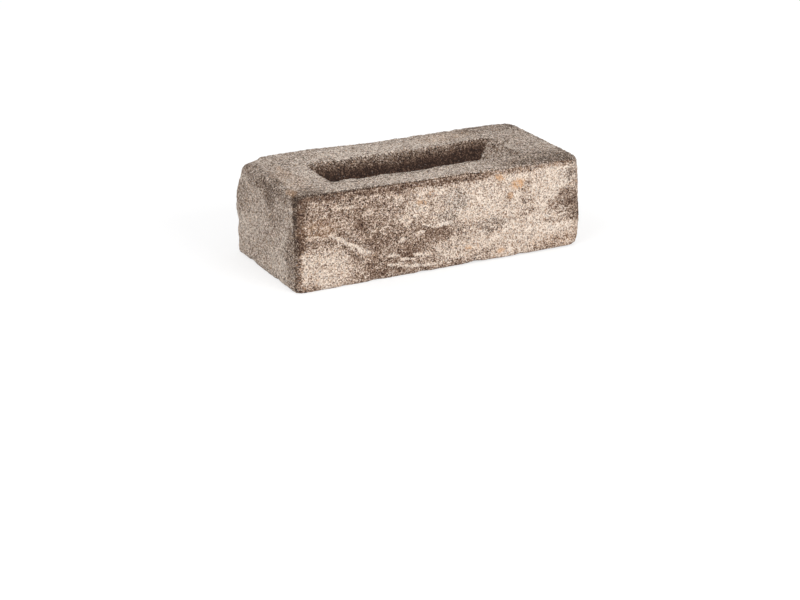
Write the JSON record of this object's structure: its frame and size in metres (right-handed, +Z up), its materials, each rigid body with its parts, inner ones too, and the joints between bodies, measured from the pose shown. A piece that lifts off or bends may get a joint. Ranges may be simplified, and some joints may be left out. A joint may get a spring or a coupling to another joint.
{
  "type": "handmade brick",
  "caption": "Hand-moulded clay facing brick, sand-faced, with softly rounded arrises and a tapered frog in its upper bed face, for mortared masonry.",
  "frame": {"origin": "centre of the flat bottom bed face", "axes": "+X along the length, +Y from the front stretcher face to the back one, +Z up, out of the frogged bed face"},
  "size_m": [0.21, 0.1, 0.065],
  "materials": {
    "sanded_clay": "matt fired clay with a pale sand facing"
  },
  "bodies": {
    "root": {"brick": "sanded_clay"}
  },
  "joints": []
}
